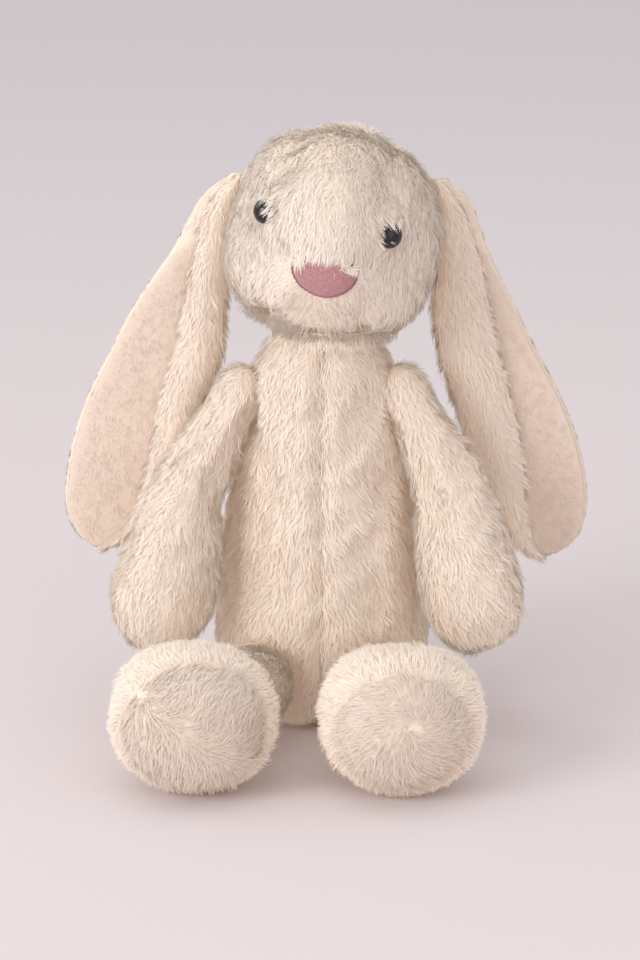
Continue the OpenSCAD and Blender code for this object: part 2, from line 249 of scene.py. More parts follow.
def stuffed(skin, pinned, excess=0.04, most=2.2 * MM, frames=16):
    """The skin after a cloth simulation that fills it under pressure, with the pinned places held.

    The cloth is a little too large for its shape, so it puckers beside what holds it.
    """
    ob = object_of("padding", skin)
    group = ob.vertex_groups.new(name="held")
    for i, share in enumerate(pinned(skin.verts)):
        if share > 0.01:
            group.add([i], float(share), "REPLACE")
    cloth = ob.modifiers.new("cloth", "CLOTH")
    cloth.settings.quality = 4
    cloth.settings.mass = 0.15
    cloth.settings.tension_stiffness = 12
    cloth.settings.compression_stiffness = 12
    cloth.settings.bending_stiffness = 0.3
    cloth.settings.use_pressure = True
    cloth.settings.uniform_pressure_force = 4
    cloth.settings.shrink_min = -excess
    cloth.settings.vertex_group_mass = "held"
    cloth.settings.effector_weights.gravity = 0
    cloth.collision_settings.use_collision = False
    cloth.point_cache.frame_start = 1
    cloth.point_cache.frame_end = frames
    scene = bpy.context.scene
    for number in range(1, frames + 1):
        scene.frame_set(number)
    moved = np.empty(len(skin.verts) * 3)
    final = bpy.data.meshes.new_from_object(ob.evaluated_get(bpy.context.evaluated_depsgraph_get()))
    final.vertices.foreach_get("co", moved)
    scene.frame_set(1)
    bpy.data.objects.remove(ob)
    step = moved.reshape(-1, 3) - skin.verts
    size = np.linalg.norm(step, axis=1, keepdims=True)
    return Skin(skin.verts + step * np.minimum(1, most / np.maximum(size, 1e-9)), skin.faces)


def finer(skin, levels=1):
    """The skin with each face split in four, rounded."""
    ob = object_of("finer", skin)
    split = ob.modifiers.new("split", "SUBSURF")
    split.levels = levels
    made = evaluated_skin(ob)
    bpy.data.objects.remove(ob)
    return made


def cut_by_plane(skin, place, direction):
    """The same skin with an edge wherever it crosses the plane."""
    bm = skin.to_bmesh()
    bmesh.ops.bisect_plane(
        bm, geom=bm.verts[:] + bm.edges[:] + bm.faces[:], dist=1e-6,
        plane_co=Vector(place), plane_no=Vector(direction),
    )
    bmesh.ops.triangulate(bm, faces=bm.faces[:])
    mesh = bpy.data.meshes.new("cut")
    bm.to_mesh(mesh)
    bm.free()
    return skin_of(mesh)


def with_thickness(skin, depth):
    """The open skin as a closed sheet: its outside, its inside and the rim between them."""
    n = len(skin.verts)
    verts = np.vstack([skin.verts, skin.verts - skin.normals * depth])
    edges = np.vstack([skin.faces[:, [0, 1]], skin.faces[:, [1, 2]], skin.faces[:, [2, 0]]])
    keys = np.sort(edges, axis=1)
    _, first, count = np.unique(keys, axis=0, return_index=True, return_counts=True)
    rim = edges[first[count == 1]]
    rim_faces = np.vstack([
        np.stack([rim[:, 1], rim[:, 0], rim[:, 0] + n], 1),
        np.stack([rim[:, 1], rim[:, 0] + n, rim[:, 1] + n], 1),
    ])
    return Skin(verts, np.vstack([skin.faces, skin.faces[:, ::-1] + n, rim_faces]))


# ---- pile ----

@dataclass
class Pile:
    """How the strands of a plush stand."""
    length: float
    width: float
    density: float          # strands in a square millimetre
    rise: float = 50        # degrees from the surface at the root
    lie: float = 14         # degrees from the surface at the tip
    tuft: float = 2.6 * MM  # distance between the middles of two tufts
    cling: float = 0.55     # how far the tips of a tuft draw together
    stray: float = 0.35     # how far each strand goes its own way
    rings: int = 2


TUFT = Pile(length=8.5 * MM, width=0.2 * MM, density=7, rise=44, lie=2, cling=0.5, stray=0.3)
LASH = Pile(
    length=6.5 * MM, width=0.17 * MM, density=5, rise=52, lie=14, tuft=2.0 * MM, cling=0.6, stray=0.4,
)
LONG = Pile(
    length=5.4 * MM, width=0.16 * MM, density=1.0, rise=32, lie=8, tuft=3.4 * MM, cling=0.4, stray=0.5,
)
DOWN = Pile(
    length=4.6 * MM, width=0.17 * MM, density=1.9, rise=15, lie=15, tuft=3.4 * MM, cling=0.2, stray=0.7,
    rings=1,
)
CHIN = Pile(
    length=6.5 * MM, width=0.16 * MM, density=1.6, rise=62, lie=50, tuft=3.4 * MM, cling=0.5, stray=0.5,
)
SHORT = Pile(length=2.0 * MM, width=0.17 * MM, density=3.0, rise=18, lie=18, cling=0.1, stray=0.5, rings=1)
ROOT_DEPTH = 0.15 * MM     # how far the roots sink into the cloth
RESTING_HEIGHT = 0.2 * MM  # the pile is pressed flat where the rabbit sits on a surface
# How far the strands are shaded like the surface under them.
ROOT_SOFTNESS, TIP_SOFTNESS = 0.92, 0.85


def fur(where=None):
    """The layers of the long plush: down all over, with longer strands among it."""
    return [(DOWN, where), (LONG, where)]


def rooted(skin, density, rng, weight=None):
    """Random places on the skin with their normals; weight thins them out, from 0 to 1 for each place."""
    a, b, c = (skin.verts[skin.faces[:, k]] for k in range(3))
    area = np.linalg.norm(np.cross(b - a, c - a), axis=1) / 2
    count = int(area.sum() / MM**2 * density)
    pick = np.searchsorted(np.cumsum(area), rng.uniform(0, area.sum(), count))
    pick = np.minimum(pick, len(area) - 1)
    u, v = rng.uniform(size=(2, count))
    flip = u + v > 1
    u[flip], v[flip] = 1 - u[flip], 1 - v[flip]
    shares = np.stack([1 - u - v, u, v], 1)[:, :, None]
    corner = skin.faces[pick]
    points = (skin.verts[corner] * shares).sum(1)
    normals = unit((skin.normals[corner] * shares).sum(1))
    if weight is not None:
        keep = rng.uniform(size=count) < weight(points, normals)
        points, normals = points[keep], normals[keep]
    return points, normals


def tufts(points, spacing, rng):
    """For each point, the number of the nearest tuft's middle, which is one of the points."""
    cell = np.floor(points / spacing).astype(int)
    _, middles = np.unique(cell, axis=0, return_index=True)
    tree = KDTree(len(middles))
    for i, m in enumerate(middles):
        tree.insert(points[m] + rng.normal(size=3) * spacing * 0.3, i)
    tree.balance()
    nearest = np.fromiter((tree.find(p)[1] for p in points), int, len(points))
    return middles[nearest], nearest


def strands(points, normals, flow, pile, rng, length_scale=1.0):
    """One closed tapered strand at each point: flat outside, with a ridge towards the cloth.

    Gives the vertices, faces and normals, how far along its strand each vertex is, and its tone.
    """
    n = len(points)
    middle, tuft = tufts(points, pile.tuft, rng)
    per_tuft = rng.normal(size=(tuft.max() + 1, 3))[tuft]
    sideways = np.cross(normals, flow)
    swerve = 0.55 * per_tuft[:, :1] * pile.stray + rng.normal(size=(n, 1)) * pile.stray * 0.6
    flow = unit(flow + sideways * swerve)
    rise = np.radians(pile.rise + 4 * per_tuft[:, 1] + rng.normal(size=n) * 5)
    lie = np.radians(pile.lie + 3 * per_tuft[:, 2] + rng.normal(size=n) * 6)
    length = pile.length * length_scale * (1 + 0.12 * per_tuft[:, 0]) * rng.uniform(0.7, 1.15, n)
    steps = pile.rings
    line = [points - normals * ROOT_DEPTH]
    for k in range(steps):
        angle = rise + (lie - rise) * (k / max(steps - 1, 1))
        heading = normals * np.sin(angle)[:, None] + flow * np.cos(angle)[:, None]
        line.append(line[-1] + heading * (length / steps)[:, None])
    line = np.stack(line, 1)
    # the tips of a tuft draw towards its middle strand
    reach = line - points[:, None]
    progress = (np.arange(steps + 1) / steps)[None, :, None]
    pull = pile.cling * rng.uniform(0.5, 1.0, n)[:, None, None] * progress ** 1.5
    target = points[middle][:, None] + reach[middle]
    line = line + (target - line) * pull
    side = unit(np.cross(flow, normals))
    widths = pile.width * rng.uniform(0.75, 1.25, n)
    taper = (1 - np.arange(steps) / steps) ** 0.6
    rings = []
    for k in range(steps):
        heading = unit(line[:, k + 1] - line[:, k])
        over = unit(np.cross(side, heading))
        over *= np.sign((over * normals).sum(1, keepdims=True) + 1e-9)
        w = (widths * taper[k])[:, None]
        rings.append(np.stack([
            line[:, k] + side * w, line[:, k] - side * w, line[:, k] - over * w * 0.9
        ], 1))
    per = 3 * steps + 1
    verts = np.concatenate([np.concatenate(rings, 1), line[:, -1:]], 1).reshape(-1, 3)
    over = np.cross(side, flow)
    over *= np.sign((over * normals).sum(1, keepdims=True) + 1e-9)
    round_about = np.concatenate([np.stack([side, -side, -over], 1)] * steps + [over[:, None]], 1)
    facing = np.array([1.0, 1, -1] * steps + [1])[None, :, None]
    share = np.append(np.repeat(np.arange(steps) / steps, 3), 1.0)[None, :, None]
    softness = ROOT_SOFTNESS + (TIP_SOFTNESS - ROOT_SOFTNESS) * share
    soft = unit(round_about * (1 - softness) + normals[:, None] * facing * softness).reshape(-1, 3)
    one = [[0, 1, 2]]
    for k in range(steps - 1):
        for i in range(3):
            a, b = 3 * k + i, 3 * k + (i + 1) % 3
            one += [[a, a + 3, b + 3], [a, b + 3, b]]
    last = 3 * (steps - 1)
    one += [[last + i, per - 1, last + (i + 1) % 3] for i in range(3)]
    faces = (np.array(one)[None] + per * np.arange(n)[:, None, None]).reshape(-1, 3)
    along = np.tile(np.append(np.repeat(np.arange(steps) / steps, 3), 1.0), n)
    tone = np.repeat(np.clip(0.5 + 0.12 * per_tuft[:, 1] + rng.normal(size=n) * 0.16, 0, 1), per)
    return verts, faces, soft, along, tone


def new_piece(name, verts, faces, normals, material_index, materials, along, tone):
    mesh = bpy.data.meshes.new(name)
    mesh.vertices.add(len(verts))
    mesh.vertices.foreach_set("co", verts.astype(np.float32).ravel())
    mesh.loops.add(faces.size)
    mesh.loops.foreach_set("vertex_index", faces.astype(np.int32).ravel())
    mesh.polygons.add(len(faces))
    mesh.polygons.foreach_set("loop_start", np.arange(0, faces.size, 3, dtype=np.int32))
    mesh.update(calc_edges=True)
    for material in materials:
        mesh.materials.append(material)
    mesh.polygons.foreach_set("material_index", material_index.astype(np.int32))
    for key, values in (("along", along), ("tone", tone)):
        layer = mesh.attributes.new(key, "FLOAT", "POINT")
        layer.data.foreach_set("value", values.astype(np.float32))
    if len(materials) > 1:
        add_bake_coordinates(mesh, verts, faces, material_index, along, tone)
    mesh.polygons.foreach_set("use_smooth", np.ones(len(faces), bool))
    mesh.normals_split_custom_set_from_vertices(normals)
    ob = bpy.data.objects.new(name, mesh)
    bpy.context.scene.collection.objects.link(ob)
    return ob


def add_bake_coordinates(mesh, verts, faces, material_index, along, tone):
    """Texture coordinates in the OFBake layer: strands lie by their tone and length, and share the upper part."""
    aside = np.tile([-0.012, 0.0, 0.012], len(faces))
    corner = faces.ravel()
    by_strand = np.stack([0.03 + 0.94 * tone[corner] + aside, 0.32 + 0.66 * along[corner]], 1)
    low, high = verts.min(0), verts.max(0)
    place = (verts[corner] - low) / (high - low)
    by_place = np.stack([0.02 + 0.96 * place[:, 0], 0.02 + 0.26 * place[:, 2]], 1)
    is_hair = np.repeat(material_index > 0, 3)[:, None]
    layer = mesh.uv_layers.new(name="OFBake")
    layer.uv.foreach_set("vector", np.where(is_hair, by_strand, by_place).astype(np.float32).ravel())


def plush(name, skin, flow, layers, cloth, hair, rng, length_at=None, depth=1.0 * MM):
    """A panel of cloth with its pile as one piece.

    Each layer is a pile and a function that says where it grows, or None for everywhere.
    """
    base = with_thickness(skin, depth)
    all_verts, all_faces, all_normals = [base.verts], [base.faces], [base.normals]
    along, tone = [np.zeros(len(base.verts))], [np.full(len(base.verts), 0.4)]
    which = [np.zeros(len(base.faces))]
    total = len(base.verts)
    for pile, weight in layers:
        points, normals = rooted(skin, pile.density, rng, weight)
        if not len(points):
            continue
        direction = along_surface(flow(points, normals), normals)
        scale = 1.0 if length_at is None else length_at(points)
        v, f, soft, a, t = strands(points, normals, direction, pile, rng, scale)
        v[:, 2] = np.maximum(v[:, 2], RESTING_HEIGHT)
        f = oriented(v, f)
        all_verts.append(v)
        all_normals.append(soft)
        all_faces.append(f + total)
        along.append(a)
        tone.append(t)
        which.append(np.ones(len(f)))
        total += len(v)
    return new_piece(
        name, np.vstack(all_verts), np.vstack(all_faces), np.vstack(all_normals), np.concatenate(which),
        [cloth, hair], np.concatenate(along), np.concatenate(tone),
    )


def settle(ob, body, nodes):
    """Hangs the piece on the body it rides on and hides the nodes that it stands for."""
    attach(ob, body)
    if nodes:
        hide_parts(*nodes)


# ---- materials ----

def linear(r, g, b):
    """An 8-bit sRGB colour as linear values."""
    values = [c / 255 for c in (r, g, b)]
    return [c / 12.92 if c <= 0.04045 else ((c + 0.055) / 1.055) ** 2.4 for c in values] + [1]


def new_material(name, roughness=0.95, sheen=0.0):
    material = bpy.data.materials.new(name)
    material.use_nodes = True
    shader = material.node_tree.nodes["Principled BSDF"]
    shader.inputs["Roughness"].default_value = roughness
    shader.inputs["Sheen Weight"].default_value = sheen
    shader.inputs["Sheen Roughness"].default_value = 0.5
    shader.inputs["Specular IOR Level"].default_value = 0.2
    return material, material.node_tree, shader


def attribute(tree, name):
    node = tree.nodes.new("ShaderNodeAttribute")
    node.attribute_name = name
    return node.outputs["Fac"]


def mix(tree, share, a, b):
    node = tree.nodes.new("ShaderNodeMix")
    node.data_type = "RGBA"
    tree.links.new(share, node.inputs["Factor"])
    for socket, value in ((node.inputs["A"], a), (node.inputs["B"], b)):
        if isinstance(value, list):
            socket.default_value = value
        else:
            tree.links.new(value, socket)
    return node.outputs["Result"]


def noise(tree, scale, detail=2.0):
    place = tree.nodes.new("ShaderNodeTexCoord")
    node = tree.nodes.new("ShaderNodeTexNoise")
    node.inputs["Scale"].default_value = scale
    node.inputs["Detail"].default_value = detail
    tree.links.new(place.outputs["Object"], node.inputs["Vector"])
    return node.outputs["Fac"]


def hair_material(name, root, tip, deep):
    """Strands that are warmer and darker at the root, which is painted shade deep in the pile, paler at the tip,
    which is painted light, and of slightly different tones.

    The faint glow stands for light that is scattered inside a real pile.
    """
    material, tree, shader = new_material(name)
    shader.inputs["Specular IOR Level"].default_value = 0.0
    shader.inputs["Emission Color"].default_value = linear(255, 226, 200)
    shader.inputs["Emission Strength"].default_value = 0.1
    by_tone = mix(tree, attribute(tree, "tone"), deep, root)
    colour = mix(tree, attribute(tree, "along"), by_tone, tip)
    tree.links.new(colour, shader.inputs["Base Color"])
    return material


def cloth_material(name, colour, shade, scale=900.0, relief=0.0):
    """The backing under a pile, a short velvety pile or a fine weave."""
    material, tree, shader = new_material(name, roughness=0.95, sheen=0.3)
    fine = noise(tree, scale, 3.0)
    tree.links.new(mix(tree, fine, shade, colour), shader.inputs["Base Color"])
    if not relief:
        return material
    lift = tree.nodes.new("ShaderNodeBump")
    lift.inputs["Strength"].default_value = relief
    lift.inputs["Distance"].default_value = 0.4 * MM
    tree.links.new(fine, lift.inputs["Height"])
    tree.links.new(lift.outputs["Normal"], shader.inputs["Normal"])
    return material


def hard_material(name, colour, shade, roughness):
    """Moulded plastic with a faint mottle."""
    material, tree, shader = new_material(name, roughness=roughness)
    shader.inputs["Specular IOR Level"].default_value = 0.55
    tree.links.new(mix(tree, noise(tree, 220.0), shade, colour), shader.inputs["Base Color"])
    return material


# Hair colours are root, tip and deep tone: the darker, warmer roots are painted shade deep in the pile and the
# paler tips are painted light.
CREAM_HAIR = hair_material("cream_hair", linear(249, 231, 213), linear(251, 244, 235), linear(246, 224, 203))
PALE_HAIR = hair_material("pale_hair", linear(248, 235, 221), linear(251, 245, 237), linear(244, 228, 211))
CREAM_CLOTH = cloth_material("cream_cloth", linear(249, 232, 214), linear(245, 225, 205))
# The sole hair is darker than the cream hair: painted shade on the soles, which face forward and a little down,
# away from the light above.
SOLE_SHADED_HAIR = hair_material("sole_shaded_hair", linear(226, 210, 196), linear(232, 221, 212), linear(219, 202, 187))
LINING_HAIR = hair_material(
    "lining_hair", linear(233, 214, 199), linear(234, 218, 205), linear(231, 211, 195),
)
NOSE_VELOUR = cloth_material(
    "nose_velour", linear(214, 164, 166), linear(150, 96, 102), scale=1300.0, relief=0.8,
)
NOSE_RIM = cloth_material("nose_rim", linear(184, 130, 132), linear(148, 98, 102), scale=1500.0, relief=0.5)
THREAD = cloth_material("thread", linear(238, 222, 206), linear(222, 202, 184), scale=2500.0, relief=0.3)
FIBRE = cloth_material("fibre", linear(246, 246, 244), linear(232, 231, 228), scale=500.0, relief=1.0)
SACK = cloth_material("sack_cloth", linear(236, 234, 228), linear(218, 215, 208), scale=1800.0, relief=0.3)
LABEL = cloth_material("label_tape", linear(248, 248, 246), linear(238, 238, 236), scale=2200.0, relief=0.15)
WASHER = hard_material("washer", linear(235, 235, 232), linear(222, 222, 219), 0.45)
PELLETS = hard_material("pellets", linear(214, 218, 222), linear(190, 196, 202), 0.4)
EYE_GLOSS = hard_material("eye_gloss", linear(20, 18, 22), linear(10, 9, 12), 0.06)
LINING_CLOTH = cloth_material("lining_cloth", linear(233, 214, 199), linear(231, 211, 195))


# ---- shaping ----

def bump(points, place, radius, height):
    """How far to push each point out for a soft round bump, or in for a hollow if height is negative."""
    distance = np.linalg.norm((points - place) / radius, axis=1)
    return height * np.exp(-distance**2)


def groove(distance, width, depth):
    """How far to push each point in for a seam that runs where distance is 0."""
    return -depth * np.exp(-(distance / width) ** 2)


def pushed(skin, amount):
    return Skin(skin.verts + skin.normals * amount[:, None], skin.faces)


# ---- torso ----

def torso_flow(points, normals):
    """The pile lies downwards and a little away from the belly seam."""
    out = np.sign(points[:, :1]) * np.array([[1.0, 0, 0]])
    return -UP + 0.25 * out + 0.22 * waves(points, 30 * MM, 3)


def torso_seams(verts):
    """1 on the seams of the torso, which lie on its two middle planes, and 0 a few millimetres away."""
    middle = np.minimum(abs(verts[:, 0]), np.where(verts[:, 2] < 110 * MM, abs(verts[:, 1]), 1))
    return np.exp(-(middle / (2.5 * MM)) ** 2)


def torso():
    nodes = ["torso_front_left", "torso_front_right", "torso_back_left", "torso_back_right"]
    skin = wrapped(nodes + ["seat_panel", "torso_stuffing", "neck_stuffing"], inset=2.0 * MM, voxel=4.5 * MM)
    skin = finer(stuffed(skin, torso_seams))
    x, y, z = skin.verts.T
    amount = groove(x, 2.6 * MM, 2.0 * MM) + groove(y, 3 * MM, 1.0 * MM)
    amount += groove(z - 88 * MM - 3 * MM * np.sin(x / (9 * MM)), 4 * MM, 0.7 * MM) * (y < 0)
    amount += 0.7 * MM * waves(skin.verts, 26 * MM, 21)[:, 0]
    skin = pushed(skin, amount)
    skin.verts[:, 2] = np.maximum(skin.verts[:, 2], 0.3 * MM)
    narrower = 1 - 0.3 * ramp(skin.verts[:, 2], 124 * MM, 146 * MM)
    skin.verts[:, :2] = HEAD_MIDDLE[:2] + (skin.verts[:, :2] - HEAD_MIDDLE[:2]) * narrower[:, None]
    skin = cut_by_plane(skin, (0, 0, 0), (1, 0, 0))
    skin = cut_by_plane(skin, (0, 0, 0), (0, 1, 0))
    x, y, _ = skin.centres.T
    for k, node in enumerate(nodes):
        side = x < 0 if node.endswith("left") else x > 0
        face = y < 0 if "front" in node else y > 0
        replaced = [node, "seat_panel"] if node == nodes[0] else [node]
        ob = plush(node + "_plush", skin.part(side & face), torso_flow, fur(above_floor),
                   CREAM_CLOTH, CREAM_HAIR, np.random.default_rng(20 + k))
        settle(ob, "torso", replaced)


def above_floor(points, normals):
    return ramp(points[:, 2], 0.5 * MM, 3 * MM)


def neck():
    """The furry roll that fills the gap between the torso and the head."""
    angles = np.radians(np.arange(0, 25, 3))
    radii = (34 * MM, 43.0 * MM)
    profile = [(radii[1] * math.sin(a), -radii[1] * math.cos(a)) for a in angles]
    profile += [(radii[0] * math.sin(a), -radii[0] * math.cos(a)) for a in angles[::-1]]
    turns = np.radians(np.arange(0, 360, 6))
    rings = np.array([
        [HEAD_MIDDLE + np.array([r * math.cos(t), r * math.sin(t), h]) for t in turns]
        for r, h in profile[1:-1]
    ])
    skin = lofted(rings)

    def flow(points, normals):
        out = unit((points - HEAD_MIDDLE) * np.array([1, 1, 0]))
        return 0.3 * out - UP + 0.3 * waves(points, 15 * MM, 23)

    def near_rim(points, normals):
        return ramp(np.linalg.norm(points[:, :2] - HEAD_MIDDLE[:2], axis=1), 11 * MM, 14 * MM)

    ob = plush("neck_plush", skin, flow, fur(near_rim), CREAM_CLOTH, CREAM_HAIR, np.random.default_rng(30))
    settle(ob, "neck_pad", ["neck_stuffing"])


# ---- head ----

NOSE_WIDE, NOSE_UP, NOSE_DOWN = 10.6 * MM, 4.2 * MM, 9.4 * MM
NOSE_X, NOSE_Z = 2.5 * MM, -7.5 * MM
NOSE_MIDDLE = np.array([NOSE_X, -43 * MM, NOSE_Z])


def head_flow(points, normals):
    """The pile falls from a parting on the crown, and runs away from the nose beside and under it."""
    p = in_head(points)
    back = np.tanh((p[:, 1] - 4 * MM) / (3 * MM))
    fall = np.stack([0.012 * p[:, 0] / MM, 0.8 * back, np.full(len(p), -1.0)], 1)
    away = unit((p - NOSE_MIDDLE) * np.array([1, 0.3, 1]))
    beside = np.exp(-(np.linalg.norm(p - NOSE_MIDDLE, axis=1) / (22 * MM)) ** 2)
    beside *= 1 - ramp(p[:, 2], -8 * MM, -2 * MM)
    mixed = head_directions(fall * (1 - beside[:, None]) + away * beside[:, None])
    for place in eye_places():
        eye = in_head(place[None])[0]
        offset = p - eye
        inner = -offset[:, 0] * np.sign(eye[0]) + 0.8 * offset[:, 2]
        near = np.exp(-(np.linalg.norm(offset, axis=1) / (8 * MM)) ** 2) * ramp(inner, -1 * MM, 3 * MM)
        mixed += 3.0 * near[:, None] * unit(place - points)
    return mixed + 0.3 * waves(points, 15 * MM, 5)


def head_seams(verts):
    p = in_head(verts)
    return np.exp(-((abs(p[:, 0]) - gusset_half()) / (2.5 * MM)) ** 2)


def head_shape(p):
    """The features of the face as pushes outwards, at places in the head's frame."""
    side = np.abs(p) * np.array([1, 0, 0]) + p * np.array([0, 1, 1])
    amount = bump(side, np.array([31, -23, 4]) * MM, 9 * MM, -1.5 * MM)        # hollows outside the eyes
    amount += bump(side, np.array([20, -32, 9]) * MM, 9 * MM, 3.0 * MM)        # brows over the eyes
    amount += bump(p, np.array([NOSE_X, -38 * MM, 0]), 11 * MM, 1.6 * MM)      # bridge of the nose
    amount += bump(side, np.array([13, -38, -18]) * MM, 11 * MM, 3.0 * MM)     # muzzle beside the nose
    amount += bump(side, np.array([26, -14, -24]) * MM, 17 * MM, 4.4 * MM)     # jowls
    amount += bump(p, np.array([0, -34, 16]) * MM, 15 * MM, 1.2 * MM)          # forehead
    amount += bump(p, np.array([0, -38, -27]) * MM, 7 * MM, -1.5 * MM)         # mouth
    amount += bump(p, np.array([0, 0, 40]) * MM, 30 * MM, -3.0 * MM)           # crown
    amount += bump(p, np.array([-37, -8, 6]) * MM, 16 * MM, -2.2 * MM)         # flatter under the nearer ear
    amount += 1.5 * MM * ramp(-p[:, 2], 8 * MM, 26 * MM)                       # chin
    front = ramp(-p[:, 1], 0, 20 * MM) * ramp(p[:, 2], -8 * MM, 6 * MM)
    amount += 1.6 * MM * (1 - ramp(side[:, 0], 13 * MM, 21 * MM)) * front
    return amount + groove(side[:, 0] - gusset_half(), 4.0 * MM, 1.1 * MM) * (0.3 + 0.7 * front)


def head():
    nodes = ["head_gusset", "head_side_left", "head_side_right"]
    skin = wrapped(nodes + ["head_stuffing"], inset=2.2 * MM, voxel=4 * MM)
    skin = finer(stuffed(skin, head_seams))
    skin = pushed(skin, head_shape(in_head(skin.verts)) + 0.5 * MM * waves(skin.verts, 18 * MM, 25)[:, 0])
    half = gusset_half()
    for side in (LEFT, RIGHT):
        place = out_of_head([side * half, 0, 0])
        skin = cut_by_plane(skin, place, head_directions([1, 0, 0]))
    x = in_head(skin.centres)[:, 0]
    layers = fur(clear_of_face) + [(CHIN, under_chin), (TUFT, over_nose), (LASH, beside_eyes)]
    groups = {"head_gusset": abs(x) < half, "head_side_left": x < -half, "head_side_right": x > half}
    for k, (node, keep) in enumerate(groups.items()):
        ob = plush(node + "_plush", skin.part(keep), head_flow, layers, CREAM_CLOTH, PALE_HAIR,
                   np.random.default_rng(40 + k), length_at=face_length)
        settle(ob, "head", [node])
    return skin


def gusset_half():
    """Half the width of the gusset, from the place of its left seam."""
    low, high = box("head_seam_left")
    left = in_head(np.array([(low + high) / 2]))[0][0]
    return abs(left)


def eye_places():
    return [np.mean(box("eye_" + SIDE_NAME[s]), axis=0) for s in (LEFT, RIGHT)]


def nose_reach(points):
    """Below 1 within the nose's outline, in the head's frame seen from the front, and above 1 outside it."""
    p = in_head(points)
    x, z = (p[:, 0] - NOSE_X) / NOSE_WIDE, p[:, 2] - NOSE_Z
    reach = np.hypot(x, z / np.where(z > 0, NOSE_UP, NOSE_DOWN))
    return np.where(p[:, 1] < 0, reach, 9)


def clear_of_face(points, normals):
    """No pile under the nose or right under the eyes."""
    keep = ramp(nose_reach(points), 0.88, 1.0)
    for place in eye_places():
        keep *= ramp(np.linalg.norm(points - place, axis=1), 3.6 * MM, 4.6 * MM)
    return keep


def over_nose(points, normals):
    """A fringe along the nose's top edge, whose strands fall over it."""
    p = in_head(points)
    above = p[:, 2] - NOSE_Z
    return (p[:, 1] < 0) * (above > 0.6 * NOSE_UP) * (above < 9 * MM) * (abs(p[:, 0] - NOSE_X) < 11 * MM)


def under_chin(points, normals):
    """The underside of the head in front, whose strands hang over the chest."""
    p = in_head(points)
    return ramp(-p[:, 2], 29 * MM, 35 * MM) * (1 - ramp(p[:, 1], -6 * MM, 4 * MM))


def beside_eyes(points, normals):
    """The strands above each eye and on its inner side, which lean over it."""
    p = in_head(points)
    keep = np.zeros(len(points))
    for place in eye_places():
        eye = in_head(place[None])[0]
        offset = p - eye
        distance = np.linalg.norm(offset, axis=1)
        inner = -offset[:, 0] * np.sign(eye[0]) + 0.8 * offset[:, 2]
        ring = ramp(distance, 3.2 * MM, 4.2 * MM) * (1 - ramp(distance, 6 * MM, 8 * MM))
        keep += ring * ramp(inner, 0.5 * MM, 3 * MM)
    return keep


def face_length(points):
    """The pile is shorter around the nose."""
    from_nose = np.linalg.norm(in_head(points) - NOSE_MIDDLE, axis=1)
    return 0.75 + 0.2 * ramp(from_nose, 10 * MM, 30 * MM)


# ---- arms, legs, feet and tail ----

def limb_flow(start, end, swirl, seed):
    line = unit(np.asarray(end) - np.asarray(start))

    def flow(points, normals):
        return line + swirl * np.cross(normals, line) + 0.22 * waves(points, 22 * MM, seed)
    return flow


def on_plane(place, direction):
    """1 on the plane of a seam and 0 a few millimetres away."""
    direction = unit(np.asarray(direction, float))
    return lambda verts: np.exp(-(((verts - place) @ direction) / (2.5 * MM)) ** 2)


HANDS = {LEFT: np.array([-61, -36, 33]) * MM, RIGHT: np.array([58, -42, 33]) * MM}


def arm(side):
    name = "arm_" + SIDE_NAME[side]
    nodes = [name + "_outer", name + "_inner"]
    shoulder = joint_place(name + "_swing")
    line = unit(HANDS[side] - shoulder)
    seam = unit(np.cross([-line[2], 0, line[0]], line))
    across = unit(np.cross(line, seam)) * side
    across *= np.sign(across[0]) * side
    skin = wrapped(nodes + [name + "_stuffing"], inset=1.2 * MM, voxel=4 * MM)
    skin = finer(stuffed(skin, on_plane(shoulder, seam)))
    along = (skin.verts - shoulder) @ line
    outwards = skin.normals @ across
    amount = 1.5 * MM * ramp(along, 5 * MM, 25 * MM) * ramp(outwards, 0, 1)
    amount += groove(along - 34 * MM, 6 * MM, 1.6 * MM) * ramp(-outwards, 0, 1)
    amount += 0.8 * MM * waves(skin.verts, 20 * MM, 31)[:, 1]
    skin = pushed(skin, amount)
    top = 1 - ramp(along, -8 * MM, 30 * MM)[:, None]
    on_line = shoulder + along[:, None] * line
    skin.verts = on_line + (skin.verts - on_line) * (1 - 0.12 * top) + top * np.array([-side * 10, 0, 6]) * MM
    skin = cut_by_plane(skin, shoulder, seam)
    facing = (skin.centres - shoulder) @ seam * np.sign(seam[1])
    behind = facing > 0
    outer = behind if side == RIGHT else ~behind
    for k, (node, keep) in enumerate(zip(nodes, (outer, ~outer))):
        ob = plush(node + "_plush", skin.part(keep), limb_flow(shoulder, HANDS[side], 0.1 * side, 7),
                   fur(), CREAM_CLOTH, CREAM_HAIR, np.random.default_rng(60 + side + 3 * k))
        settle(ob, name, [node])


def leg(side):
    name = "leg_" + SIDE_NAME[side]
    nodes = [name + "_upper", name + "_under"]
    skin = wrapped(nodes + [name + "_stuffing"], inset=2.2 * MM)
    hip = joint_place(name + "_raise")
    ankle = np.mean(box(f"foot_{SIDE_NAME[side]}_stuffing"), axis=0)
    line = unit(ankle - hip)
    seam = unit(np.cross([1, 0, 0], line))
    seam *= np.sign(seam[2])
    skin = cut_by_plane(skin, hip, seam)
    above = (skin.centres - hip) @ seam > 0
    for k, (node, keep) in enumerate(zip(nodes, (above, ~above))):
        ob = plush(node + "_plush", skin.part(keep), limb_flow(hip, ankle, 0, 9),
                   fur(above_floor), CREAM_CLOTH, CREAM_HAIR, np.random.default_rng(80 + side + 3 * k))
        settle(ob, name, [node])


